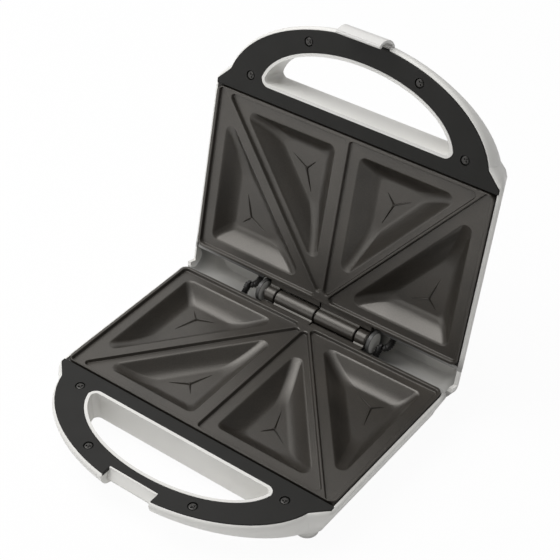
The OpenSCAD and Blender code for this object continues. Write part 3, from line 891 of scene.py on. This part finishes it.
class TOASTER_OT_turn_screws(Operator):
    """Make the cross-head screws of the handle covers"""

    bl_idname = "toaster.turn_screws"
    bl_label = "Turn Cover Screws"

    def execute(self, context):
        metal = drawn_steel("blackened_steel", (0.07, 0.068, 0.065), 0.42)
        for half in PLACES:
            heads = []
            for x, y in COVER_BOLTS:
                heads += [self.head(x, y, 12 * x), self.head(-x, y, 7 * x)]
            screws = joined(half + "_cross_screws", heads)
            smooth(screws, 35.0)
            fit(screws, half, half, "dark_screw", metal, half + "_cover_screws")
        return {"FINISHED"}

    def head(self, x, y, turn):
        """One pan head over its shank, with a cross recess."""
        bpy.ops.object.select_all(action="DESELECT")
        bpy.ops.mesh.primitive_cylinder_add(
            vertices=40,
            radius=HEAD_R,
            depth=HEAD_H,
            location=(x, y, SCREW_SEAT + HEAD_H / 2),
        )
        pan = bpy.context.object
        bpy.ops.object.transform_apply(location=True, rotation=True, scale=True)
        round_edges(pan, lambda a, b: min(a.z, b.z) > SCREW_SEAT + 1.3, 0.75, 4)
        for k in range(2):
            bpy.ops.object.select_all(action="DESELECT")
            bpy.ops.mesh.primitive_cube_add(
                size=1,
                location=(x, y, SCREW_SEAT + 1.3),
                rotation=(0, 0, math.radians(turn + 90 * k)),
                scale=(3.4, 0.75, 1.5),
            )
            bar = bpy.context.object
            bpy.ops.object.transform_apply(location=True, rotation=True, scale=True)
            select_only(pan)
            cut = pan.modifiers.new("recess", "BOOLEAN")
            cut.object = bar
            cut.operation = "DIFFERENCE"
            bpy.ops.object.modifier_apply(modifier=cut.name)
            bpy.data.objects.remove(bar)
        bpy.ops.object.select_all(action="DESELECT")
        bpy.ops.mesh.primitive_cylinder_add(
            vertices=24,
            radius=SHANK_R,
            depth=SHANK_LENGTH,
            location=(x, y, SCREW_SEAT + 0.1 - SHANK_LENGTH / 2),
        )
        shank = bpy.context.object
        bpy.ops.object.transform_apply(location=True, rotation=True, scale=True)
        round_edges(shank, lambda a, b: max(a.z, b.z) < SCREW_SEAT - 7, 0.4, 2)
        return joined("screw", [pan, shank])


class TOASTER_OT_mould_clip(Operator):
    """Round the latch clip"""

    bl_idname = "toaster.mould_clip"
    bl_label = "Mould Clip"

    def execute(self, context):
        plastic = moulded_plastic("clip_plastic", colour("clip"), 0.3, 1600.0, 0.00002)
        clip = own_copy("latch", "lid", "clip")
        end_x = max(v.co.x for v in clip.data.vertices) - 0.01

        def on_an_end(a, b):
            return min(abs(a.x), abs(b.x)) > end_x and abs(a.x - b.x) < 1 and (a - b).length > 0.5

        round_edges(clip, on_an_end, shape().edge_round / MM, 2)
        smooth(clip, 34.0)
        even_normals(clip)
        fit(clip, "lid", "latch", "clip", plastic, "latch")
        return {"FINISHED"}


class TOASTER_OT_braid_sleeves(Operator):
    """Make the ribbed sleeves of the leads that cross the hinge"""

    bl_idname = "toaster.braid_sleeves"
    bl_label = "Braid Lead Sleeves"

    def execute(self, context):
        braid = woven_sleeve("sleeve_braid")
        for half, sign in (("base", 1), ("lid", -1)):
            for side, x in zip(("left", "right"), SLEEVES):
                name = side + "_sleeve_" + half
                sleeve = self.sleeve(sign * x)
                sleeve.name = name + "_braid"
                fit(sleeve, half, half, "lead_sleeve", braid, name)
        return {"FINISHED"}

    def route(self, x, t):
        """Point of a lead's cubic curve, from inside its casing to the hinge's axis."""
        a = Vector((x - 3, -3, -8.4))
        b = Vector((x - 3, 10, -8.4))
        c = Vector((x - 4, HINGE[0], HINGE[1]))
        d = Vector((x - 0.15, HINGE[0], HINGE[1]))
        s = 1 - t
        return s**3 * a + 3 * t * s**2 * b + 3 * t * t * s * c + t**3 * d

    def sleeve(self, x):
        """Core tube with a ring for each rib, all along the lead's route."""
        fine = [self.route(x, i / 200) for i in range(201)]
        lengths = [0.0]
        for a, b in zip(fine, fine[1:]):
            lengths.append(lengths[-1] + (b - a).length)
        pitch = shape().rib_pitch / MM
        stations = int((lengths[-1] - 0.2) / (pitch / 4))
        points, faces = [], []
        sides = 20
        for k in range(stations + 1):
            goal = min(lengths[-1], k * pitch / 4)
            i = min(range(201), key=lambda n: abs(lengths[n] - goal))
            ahead = unit(fine[min(200, i + 1)] - fine[max(0, i - 1)])
            u = unit(ahead.cross(Vector((0.5, -0.5, 0.7))))
            v = ahead.cross(u)
            radius = SLEEVE_R + RIB_LIFT * math.cos(math.pi / 2 * k)
            for n in range(sides):
                angle = 2 * math.pi * n / sides
                points.append(tuple(fine[i] + radius * (math.cos(angle) * u + math.sin(angle) * v)))
        for k in range(stations):
            for n in range(sides):
                a = k * sides + n
                b = k * sides + (n + 1) % sides
                faces.append((a, b, b + sides, a + sides))
        faces.append(tuple(range(sides)))
        faces.append(tuple(stations * sides + n for n in range(sides)))
        thing = add_mesh("sleeve", points, faces)
        edit(thing)
        bpy.ops.mesh.select_all(action="SELECT")
        bpy.ops.mesh.normals_make_consistent(inside=False)
        close()
        smooth(thing, 60.0)
        return thing


class TOASTER_OT_mould_feet(Operator):
    """Smooth the shading of the soft feet"""

    bl_idname = "toaster.mould_feet"
    bl_label = "Mould Feet"

    def execute(self, context):
        soft = moulded_plastic("foot_rubber", colour("foot"), 0.65, 900.0, 0.00006)
        feet = own_copy("feet", "base", "soft_feet")
        smooth(feet, 34.0)
        fit(feet, "base", "base", "foot", soft, "feet")
        return {"FINISHED"}


class TOASTER_OT_finish_inside(Operator):
    """Give the pins, lamps and the parts inside the casings their finishes"""

    bl_idname = "toaster.finish_inside"
    bl_label = "Finish Inner Parts"

    def execute(self, context):
        steel = drawn_steel("bright_steel", (0.62, 0.61, 0.60), 0.32)
        sheath = drawn_steel("heater_sheath", (0.30, 0.28, 0.26), 0.5)
        sheet = drawn_steel("bright_sheet", (0.78, 0.78, 0.78), 0.35)
        fired = ceramic("fired_ceramic", (0.72, 0.69, 0.62))
        glass = lens_plastic("lamp_bulb", (0.85, 0.75, 0.65))
        plastic = bpy.data.materials["housing_plastic"]
        wear = {
            "hinge_pin": steel,
            "latch_pin": steel,
            "base_plate_screws": steel,
            "lid_plate_screws": steel,
            "base_heater": sheath,
            "lid_heater": sheath,
            "base_reflector": sheet,
            "lid_reflector": sheet,
            "thermostat": fired,
            "thermal_fuse": fired,
            "terminal_block": fired,
            "lamp_holder": fired,
            "power_lamp": glass,
            "ready_lamp": glass,
            "outlet_bush": plastic,
            "power_lens": lens_plastic("red_lens_plastic", (0.6, 0.03, 0.02)),
            "ready_lens": lens_plastic("green_lens_plastic", (0.04, 0.42, 0.10)),
        }
        for node, material in wear.items():
            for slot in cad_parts[node].material_slots:
                slot.material = material
        return {"FINISHED"}


# Studio


LIGHT_DISTANCE = 1.4
LIGHT_CENTRE = Vector((0, 0.02, 0.08))
# Millimetres from the origin of the base's own frame to the camera's target, to the picture's
# right and upwards
TARGET_SHIFT = (-19.15, 30.59)


def direction(azimuth, elevation):
    """Unit vector from the toaster, turned from its front towards +X and raised."""
    level = math.cos(elevation)
    return Vector((math.sin(azimuth) * level, -math.cos(azimuth) * level, math.sin(elevation)))


class TOASTER_OT_set_stage(Operator):
    """Set the floor, the light and the camera"""

    bl_idname = "toaster.set_stage"
    bl_label = "Set Stage"

    def execute(self, context):
        studio = context.scene.toaster_studio
        self.floor()
        self.light(studio)
        self.camera(studio)
        context.scene.view_settings.view_transform = "Standard"
        return {"FINISHED"}

    def floor(self):
        bpy.ops.object.select_all(action="DESELECT")
        bpy.ops.mesh.primitive_plane_add(size=14, location=(0, 0, -0.0003))
        floor = bpy.context.object
        floor.name = "studio_floor"
        paper = Finish("studio_paper", {"Base Color": (0.86, 0.86, 0.86, 1), "Roughness": 0.9})
        glow = paper.node("ShaderNodeEmission", None, {"Color": (1, 1, 1, 1), "Strength": 1.0})
        seen = paper.node("ShaderNodeLightPath", out="Is Camera Ray")
        mixed = paper.node(
            "ShaderNodeMixShader",
            None,
            {0: seen * 0.7 + 0.25, 1: Wire(paper, paper.shader.outputs[0]), 2: glow},
        )
        output = paper.tree.nodes["Material Output"]
        paper.feed(output.inputs["Surface"], mixed)
        floor.data.materials.append(paper.material)

    def light(self, studio):
        world = bpy.data.worlds.new("studio_air")
        bpy.context.scene.world = world
        world.use_nodes = True
        tree = world.node_tree
        air = tree.nodes["Background"]
        path = tree.nodes.new("ShaderNodeLightPath")
        pick = tree.nodes.new("ShaderNodeMapRange")
        tree.links.new(path.outputs["Is Camera Ray"], pick.inputs["Value"])
        pick.inputs["To Min"].default_value = studio.sky
        pick.inputs["To Max"].default_value = 1.0
        tree.links.new(pick.outputs[0], air.inputs["Strength"])
        air.inputs["Color"].default_value = (1, 1, 1, 1)
        # Name, bearing and height in degrees, width in metres, power in watts
        for name, azimuth, elevation, size, power in (
            ("key_softbox", -72, 56, 1.1, studio.key_power),
            ("top_softbox", -60, 82, 1.1, studio.top_power),
            ("fill_softbox", 85, 25, 0.9, studio.fill_power),
            ("rear_softbox", -140, 38, 1.2, studio.rear_power),
            ("front_softbox", -32, 12, 0.8, studio.front_power),
        ):
            towards = direction(math.radians(azimuth), math.radians(elevation))
            lamp = bpy.data.lights.new(name, "AREA")
            lamp.size = size
            lamp.energy = power
            box = bpy.data.objects.new(name, lamp)
            box.location = towards * LIGHT_DISTANCE + LIGHT_CENTRE
            box.rotation_euler = towards.to_track_quat("Z", "Y").to_euler()
            bpy.context.scene.collection.objects.link(box)

    def camera(self, studio):
        back = direction(studio.azimuth, studio.elevation)
        right = Vector((math.cos(studio.azimuth), math.sin(studio.azimuth), 0))
        up = back.cross(right)
        shift = right * TARGET_SHIFT[0] + up * TARGET_SHIFT[1]
        target = shift * MM + Vector((0, -MID_Y, -FOOT_Z)) * MM
        turn = Matrix.Rotation(studio.roll, 3, back)
        right, up = turn @ right, turn @ up
        lens = bpy.data.cameras.new("photo_camera")
        lens.lens = studio.lens
        lens.sensor_width = 36
        camera = bpy.data.objects.new("photo_camera", lens)
        bpy.context.scene.collection.objects.link(camera)
        axes = Matrix((right, up, back)).transposed().to_4x4()
        camera.matrix_world = Matrix.Translation(target + back * studio.distance) @ axes
        bpy.context.scene.camera = camera


class TOASTER_PT_pieces(Panel):
    """Lists the steps that dress the toaster."""

    bl_label = "Sandwich Toaster"
    bl_idname = "TOASTER_PT_pieces"
    bl_space_type = "VIEW_3D"
    bl_region_type = "UI"
    bl_category = "Toaster"

    def draw(self, context):
        for step in STEPS:
            self.layout.operator(step.bl_idname)
        for group in ("toaster_shape", "toaster_colours", "toaster_studio"):
            box = self.layout.box()
            settings = getattr(context.scene, group)
            for name in settings.__annotations__:
                box.prop(settings, name)


STEPS = (
    TOASTER_OT_cast_plates,
    TOASTER_OT_mould_casings,
    TOASTER_OT_press_covers,
    TOASTER_OT_turn_screws,
    TOASTER_OT_mould_clip,
    TOASTER_OT_braid_sleeves,
    TOASTER_OT_mould_feet,
    TOASTER_OT_finish_inside,
    TOASTER_OT_set_stage,
)
CLASSES = (ToasterShape, ToasterColours, ToasterStudio) + STEPS + (TOASTER_PT_pieces,)


def register():
    for item in CLASSES:
        bpy.utils.register_class(item)
    bpy.types.Scene.toaster_shape = PointerProperty(type=ToasterShape)
    bpy.types.Scene.toaster_colours = PointerProperty(type=ToasterColours)
    bpy.types.Scene.toaster_studio = PointerProperty(type=ToasterStudio)


def unregister():
    for group in ("toaster_shape", "toaster_colours", "toaster_studio"):
        delattr(bpy.types.Scene, group)
    for item in reversed(CLASSES):
        bpy.utils.unregister_class(item)


def main():
    register()
    bpy.ops.toaster.cast_plates()
    bpy.ops.toaster.mould_casings()
    bpy.ops.toaster.press_covers()
    bpy.ops.toaster.turn_screws()
    bpy.ops.toaster.mould_clip()
    bpy.ops.toaster.braid_sleeves()
    bpy.ops.toaster.mould_feet()
    bpy.ops.toaster.finish_inside()
    bpy.ops.toaster.set_stage()


if __name__ == "__main__":
    main()
